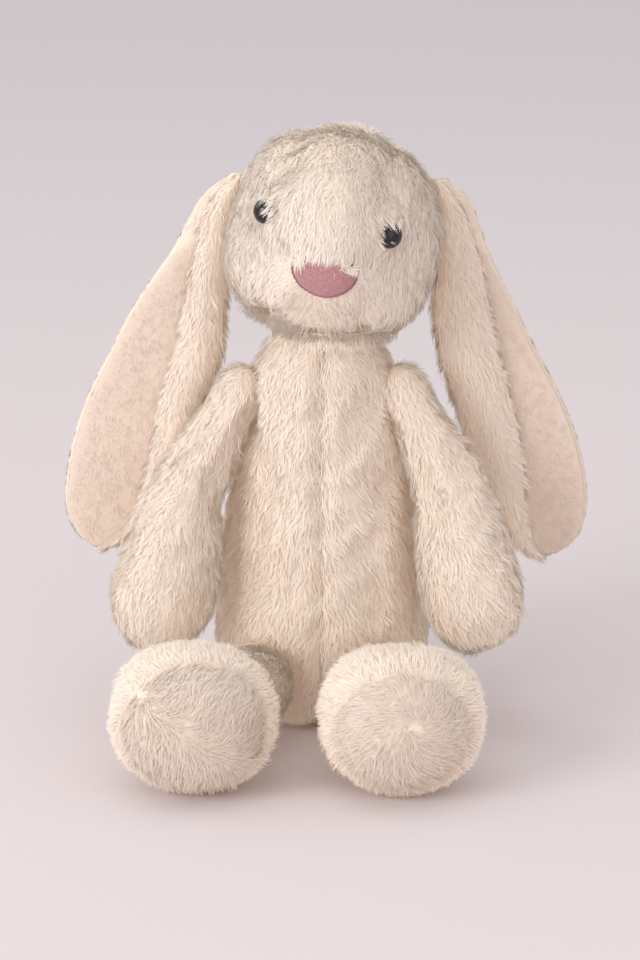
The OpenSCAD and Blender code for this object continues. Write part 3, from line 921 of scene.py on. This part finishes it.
def foot(side):
    word = SIDE_NAME[side]
    cover, sole = f"foot_{word}_cover", f"sole_{word}"
    middle = np.mean(box(f"foot_{word}_stuffing"), axis=0)
    edge = box(sole)[1][1] - 1.5 * MM
    skin = wrapped([cover, sole, f"foot_{word}_stuffing"], inset=1.8 * MM, voxel=4 * MM)
    skin = finer(stuffed(skin, on_plane(np.array([0, edge, 0]), (0, 1, 0))))
    skin = pushed(skin, 0.9 * MM * waves(skin.verts, 18 * MM, 41 + side)[:, 2])
    skin.verts[:, 2] = np.maximum(skin.verts[:, 2], 1.5 * MM)
    skin = cut_by_plane(skin, (0, edge, 0), (0, 1, 0))
    front = skin.centres[:, 1] < edge
    crown = middle + np.array([4, 0, 3]) * MM

    def swirling(points, normals):
        away = points - crown
        away[:, 1] = 0
        turn = np.cross(normals, away)
        return away / MM / 12 + turn / MM / 20 + 0.6 * waves(points, 14 * MM, 11)

    def parted(points, normals):
        """The pile falls to both sides of a line across the sole."""
        beside = (points - middle) @ unit(np.array([0.55, 0, 0.83]))
        fall = np.tanh(beside / (5 * MM))[:, None] * unit(np.array([0.3, 0, 0.9]))
        return fall - 0.35 * np.array([-0.8, 0, 0.6]) + 0.45 * waves(points, 14 * MM, 13)

    def backwards(points, normals):
        return BACK - 0.4 * UP + 0.22 * waves(points, 20 * MM, 12)

    # The soles take the darker sole hair, which is painted shade.
    for k, (node, keep, field, hair, slot) in enumerate((
        (cover, ~front, backwards, CREAM_HAIR, "cream_plush"),
        (sole, front, parted if side == LEFT else swirling, SOLE_SHADED_HAIR, "sole_plush"),
    )):
        ob = plush(node + "_plush", skin.part(keep), field, fur(above_floor), CREAM_CLOTH, hair,
                   np.random.default_rng(90 + side + 3 * k))
        settle(ob, f"leg_{word}", [node])


def tail():
    skin = wrapped(["tail_cover", "tail_stuffing"], inset=1.0 * MM, voxel=1.6 * MM)
    middle = skin.verts.mean(0)
    skin.verts[:, 1] -= 8 * MM * ramp(middle[1] - skin.verts[:, 1], 0, 8 * MM)

    def flow(points, normals):
        return 0.5 * (points - middle) / MM / 12 - 0.4 * UP + 0.5 * waves(points, 12 * MM, 15)

    ob = plush("tail_plush", skin, flow, fur(), CREAM_CLOTH, CREAM_HAIR,
               np.random.default_rng(99))
    settle(ob, "tail", ["tail_cover"])


# ---- ears ----

# Each ear is a leaf folded lengthwise, with its inner part laid over its front.
# From root to tip: [outer edge x, free edge x, fold x, middle y, height, half thickness].
LEFT_EAR = np.array([
    [-32, -30, -27, 2, 197, 2], [-43, -39, -30, 4, 188, 5], [-54, -45, -32, 7, 168, 6],
    [-67, -49, -34, 10, 149, 6.5], [-77, -53, -35.5, 12, 130, 6.5], [-86, -58, -42, 13, 112, 6.5],
    [-92, -62, -48, 13, 93, 6.5], [-94.5, -67, -57, 13, 74, 6], [-91, -74, -70, 13, 62, 5],
    [-84, -81, -79, 13, 56, 2.5],
]) * MM
RIGHT_EAR = np.array([
    [44, 42, 39, 2, 195, 2], [53, 49, 40, 4, 187, 5], [60, 56, 41, 7, 168, 6],
    [69, 60, 40, 10, 149, 6.5], [78, 64, 42, 12, 131, 6.5], [88, 69, 48, 13, 112, 6.5],
    [95, 73, 54, 13, 93, 6.5], [98, 74.5, 60, 13, 74, 6], [95, 77, 68, 13, 60, 5],
    [86, 82, 79, 13, 53, 2.5],
]) * MM


def smooth_rows(table, steps):
    """The rows of the table on a smooth curve, with steps spans between two of them."""
    padded = np.vstack([2 * table[0] - table[1], table, 2 * table[-1] - table[-2]])
    rows = []
    for i in range(len(table) - 1):
        a, b, c, d = padded[i:i + 4]
        for t in np.arange(steps) / steps:
            rows.append(0.5 * (2 * b + (c - a) * t + (2 * a - 5 * b + 4 * c - d) * t * t
                               + (3 * b - a - 3 * c + d) * t**3))
    return np.array(rows + [table[-1]])


def cushion(starts, ends, y, z, thick, hollow, sides=20):
    """A closed pad between two edges, seen along its length as a flat oval that can be hollow in front."""
    turns = np.linspace(0, 2 * np.pi, sides, endpoint=False)
    rings = []
    for a, b, depth, height, half, dip in zip(starts, ends, y, z, thick, hollow):
        across = np.cos(turns)
        x = (a + b) / 2 + (b - a) / 2 * across
        front = depth + half * np.sin(turns) * (1 - 0.35 * across**2)
        front = front + dip * (1 - across**2) * (np.sin(turns) < 0.2)
        rings.append(np.stack([x, front, np.full(sides, height)], 1))
    return lofted(np.array(rings))


def joined(skins):
    shift = np.cumsum([0] + [len(k.verts) for k in skins[:-1]])
    return Skin(np.vstack([k.verts for k in skins]), np.vstack([k.faces + n for k, n in zip(skins, shift)]))


def ear(side):
    name = "ear_" + SIDE_NAME[side]
    outer, free, fold, y, z, thick = smooth_rows(LEFT_EAR if side == LEFT else RIGHT_EAR, 5).T
    inwards = -side
    leaf = cushion(outer, fold, y + 2.5 * MM, z, thick * 0.55, thick * 0)
    band = cushion(free, fold - 1.0 * MM * inwards, y - thick * 0.75, z, thick * 0.7, thick * 0)
    first = 8
    start, end = outer + inwards * 1.2 * MM, free + inwards * 5 * MM
    opening = np.clip((np.arange(len(z)) - first + 1) / 3, 0.1, 1)
    start = end + (start - end) * opening
    columns = (start, end, y - 1.8 * MM, z, thick * 0.5 * opening, thick * 0.3 * opening)
    pad = cushion(*(column[first:-1] for column in columns))
    root = joint_place(name + "_swing")
    tip = np.array([outer[-1], y[-1], z[-1]])

    def outside(points, normals):
        """The band and the back of the leaf, but not the side of the leaf that the lining covers."""
        edge = np.interp(-points[:, 2], -z, free)
        under = (points[:, 0] - edge) * side > 1 * MM
        return 1 - under * ramp(-normals[:, 1], 0.15, 0.4) * (points[:, 2] < z[first])

    def shorter_at_rim(points):
        from_rim = abs(points[:, 0] - np.interp(-points[:, 2], -z, outer))
        return 0.4 + 0.6 * ramp(from_rim, 1 * MM, 7 * MM)

    for part, skin, hair, cloth, layers, slot in (
        ("back", joined([leaf, band]), CREAM_HAIR, CREAM_CLOTH, fur(outside), "cream_plush"),
        ("lining", pad, LINING_HAIR, LINING_CLOTH, [(SHORT, None)], "lining_plush"),
    ):
        node = f"{name}_{part}"
        ob = plush(node + "_plush", skin, limb_flow(root, tip, 0, 13), layers, cloth, hair,
                   np.random.default_rng(120 + side + len(node)), length_at=shorter_at_rim)
        settle(ob, name, [node])


# ---- nose ----

def nose_edge(angle):
    """The nose's outline in the head's frame: flat above and round below."""
    x = NOSE_WIDE * np.cos(angle)
    z = np.where(np.sin(angle) > 0, NOSE_UP * abs(np.sin(angle)) ** 0.7, -NOSE_DOWN * abs(np.sin(angle)))
    return x + NOSE_X, z + NOSE_Z


def onto_face(x, z, surface, lift):
    """The places on the face in front of (x, z) in the head's frame, raised by lift."""
    towards_back = Vector(head_directions([0, 1, 0]))
    places = []
    for a, b in zip(x, z):
        start = Vector(out_of_head([a, -80 * MM, b]))
        hit, normal, _, _ = surface.ray_cast(start, towards_back)
        places.append(np.array(hit) + lift * np.array(normal))
    return np.array(places)


def nose(face):
    """A padded patch of velour with a stitched rim."""
    surface = BVHTree.FromPolygons(face.verts.tolist(), face.faces.tolist())
    x, z = nose_edge(np.linspace(0, 2 * np.pi, 72, endpoint=False))

    def outline(share, lift):
        """The nose's edge, drawn in to a share of its size and raised over the face by lift."""
        return onto_face((x - NOSE_X) * share + NOSE_X, (z - NOSE_Z) * share + NOSE_Z, surface, lift)

    edge_height, padding = 1.0 * MM, 1.5 * MM
    shares = np.linspace(0.04, 1, 14)
    crown = [outline(share, edge_height + padding * math.sqrt(1 - share**3)) for share in shares]
    underside = [outline(1, 0.0), outline(0.1, 0.0)]
    ob = plain_piece("nose_velour_pad", lofted(np.array(crown + underside)), NOSE_VELOUR)
    settle(ob, "head", ["nose_patch"])

    ob = plain_piece("nose_rim", tube(outline(1.02, 0.8 * MM), 0.6 * MM, twist=0.12), NOSE_RIM)
    settle(ob, "head", ["nose_seam"])


def tube(path, radius, twist=0.0, sides=10):
    """A closed ring of thread along the path, with ridges like stitches if twist is above 0."""
    ahead = unit(np.roll(path, -1, 0) - np.roll(path, 1, 0))
    middle = path.mean(0)
    out = unit(path - middle)
    out = unit(out - ahead * (out * ahead).sum(1, keepdims=True))
    up = np.cross(ahead, out)
    turns = np.linspace(0, 2 * np.pi, sides, endpoint=False)
    size = radius * (1 + twist * (-1.0) ** np.arange(len(path)))[:, None, None]
    ring = out[:, None] * np.cos(turns)[None, :, None] + up[:, None] * np.sin(turns)[None, :, None]
    verts = (path[:, None] + ring * size).reshape(-1, 3)
    m, n = len(path), sides
    i, k = np.meshgrid(np.arange(m), np.arange(n), indexing="ij")
    a, b = i * n + k, i * n + (k + 1) % n
    c, d = (i + 1) % m * n + (k + 1) % n, (i + 1) % m * n + k
    faces = np.vstack([np.stack([a, b, c], -1).reshape(-1, 3), np.stack([a, c, d], -1).reshape(-1, 3)])
    return Skin(verts, oriented(verts, faces))


def plain_piece(name, skin, material):
    """A piece without pile."""
    none = np.zeros(len(skin.verts))
    first = np.zeros(len(skin.faces))
    return new_piece(name, skin.verts, skin.faces, skin.normals, first, [material], none, none)


# ---- what lies under the cloth ----

def stuffing():
    """The fibre inside each part, drawn in from its cloth and lumpy."""
    for body, names in frame["record"]["behaviour"]["bodies"].items():
        for node in names:
            if not node.endswith("stuffing") or node == "neck_stuffing":
                continue
            skin = wrapped([node], inset=3.4 * MM, voxel=4 * MM)
            skin = pushed(skin, 0.9 * MM * waves(skin.verts, 9 * MM, len(node))[:, 0])
            ob = plain_piece(node + "_fibre", skin, FIBRE)
            settle(ob, body, [node])


# How far the long seams lie under the pile, in mm.
THREAD_DEPTHS = {"belly_seam": 3.4, "back_seam": 2.6, "head_seam_left": 4.0, "head_seam_right": 4.0}


def sunk_threads():
    """The stitches of the long seams, which lie at the bottom of the pile."""
    for node, depth in THREAD_DEPTHS.items():
        skin = skin_of(NODES[node].data)
        on_head = node.startswith("head")
        middle = HEAD_MIDDLE if on_head else np.array([0, 0, 0])
        inwards = (middle - skin.verts) * (1 if on_head else np.array([1, 1, 0]))
        skin = Skin(skin.verts + unit(inwards) * depth * MM, skin.faces)
        ob = plain_piece(node + "_thread", skin, THREAD)
        settle(ob, "head" if on_head else "torso", [node])


def label():
    """A strip of tape folded in two, with both ends in the back seam."""
    low, high = box("care_label")
    reach, half = high[1] - low[1], 0.3 * MM
    straight = np.linspace(low[1], high[1] - half, 8)
    bend = np.radians(range(-60, 61, 30))
    x = np.concatenate([np.full(8, -half), half * np.sin(bend), np.full(8, half)])
    y = np.concatenate([straight, high[1] - half + half * np.cos(bend), straight[::-1]])
    heights = np.linspace(low[2], high[2], 6)
    curl = 1.2 * MM * ((y - low[1]) / reach) ** 2
    verts = np.array([(a, b, h) for h in heights for a, b in zip(x + curl, y)])
    row, k = np.meshgrid(np.arange(5), np.arange(len(x) - 1), indexing="ij")
    a = (row * len(x) + k).ravel()
    b = a + len(x)
    faces = np.vstack([np.stack([a, a + 1, b + 1], 1), np.stack([a, b + 1, b], 1)])
    ob = plain_piece("care_label_tape", with_thickness(Skin(verts, faces), 0.15 * MM), LABEL)
    settle(ob, "torso", ["care_label"])


def plain_parts():
    """The small hard parts and the threads of the roots keep their own shapes."""
    kinds = {
        "eye_left": EYE_GLOSS, "eye_right": EYE_GLOSS,
        "eye_washer_left": WASHER, "eye_washer_right": WASHER,
        "pellets": PELLETS, "pellet_sack": SACK,
    }
    for node, ob in NODES.items():
        ob.data.materials.clear()
        ob.data.materials.append(kinds.get(node, THREAD))


# ---- the room ----

# The floor's colour near the rabbit and far away: the lighter near part is painted light, as if the floor there
# caught more light than the far part behind the rabbit.
NEAR_FLOOR_PAINTED_LIGHT = linear(231, 222, 223)
FAR_FLOOR = linear(226, 219, 222)


def stage():
    """A round pale floor, large enough to fill the view behind the rabbit from every side, with painted light that
    makes it lighter near the rabbit than far away.
    """
    mesh = bpy.data.meshes.new("floor")
    bm = bmesh.new()
    bmesh.ops.create_circle(bm, cap_ends=True, segments=96, radius=9.0)
    bm.to_mesh(mesh)
    bm.free()
    floor = bpy.data.objects.new("floor", mesh)
    bpy.context.scene.collection.objects.link(floor)
    material, tree, shader = new_material("paper")
    place = tree.nodes.new("ShaderNodeTexCoord")
    distance = tree.nodes.new("ShaderNodeVectorMath")
    distance.operation = "LENGTH"
    tree.links.new(place.outputs["Object"], distance.inputs[0])
    share = tree.nodes.new("ShaderNodeMapRange")
    share.inputs["From Min"].default_value = 0.3
    share.inputs["From Max"].default_value = 1.5
    tree.links.new(distance.outputs["Value"], share.inputs["Value"])
    tree.links.new(mix(tree, share.outputs["Result"], NEAR_FLOOR_PAINTED_LIGHT, FAR_FLOOR), shader.inputs["Base Color"])
    mesh.materials.append(material)


def area_light(name, place, target, size, power, colour=(1, 1, 1)):
    light = bpy.data.lights.new(name, "AREA")
    light.shape = "DISK"
    light.size = size
    light.energy = power
    light.color = colour
    ob = bpy.data.objects.new(name, light)
    ob.location = place
    ob.rotation_euler = (Vector(target) - Vector(place)).to_track_quat("-Z", "Y").to_euler()
    bpy.context.scene.collection.objects.link(ob)


def lights():
    middle = (0, 0, 0.1)
    area_light("key", (-1.6, -1.4, 0.8), middle, 1.3, 24, (1.0, 0.99, 0.975))
    area_light("fill", (0.9, -1.9, 0.7), middle, 1.6, 4)
    area_light("top", (-0.3, -0.1, 2.0), middle, 1.8, 4)
    world = bpy.data.worlds.new("room")
    world.use_nodes = True
    background = world.node_tree.nodes["Background"]
    background.inputs["Color"].default_value = (0.93, 0.91, 0.92, 1)
    background.inputs["Strength"].default_value = 0.80
    bpy.context.scene.world = world


CAMERA_RISE = math.radians(15)
CAMERA_AWAY = 1.25
FRAME_HEIGHT = 0.349
AIM = Vector((-0.0005, 0, 0.085))


def camera():
    data = bpy.data.cameras.new("camera")
    data.sensor_fit = "VERTICAL"
    data.sensor_height = 36
    data.lens = data.sensor_height * CAMERA_AWAY / FRAME_HEIGHT
    ob = bpy.data.objects.new("camera", data)
    ob.location = AIM + Vector((0, -math.cos(CAMERA_RISE), math.sin(CAMERA_RISE))) * CAMERA_AWAY
    ob.rotation_euler = (AIM - ob.location).to_track_quat("-Z", "Y").to_euler()
    bpy.context.scene.collection.objects.link(ob)
    bpy.context.scene.camera = ob


camera()
lights()
stage()
plain_parts()
stuffing()
sunk_threads()
label()
torso()
neck()
nose(head())
for side in (LEFT, RIGHT):
    ear(side)
    arm(side)
    leg(side)
    foot(side)
tail()
bpy.context.scene.view_settings.view_transform = "Standard"
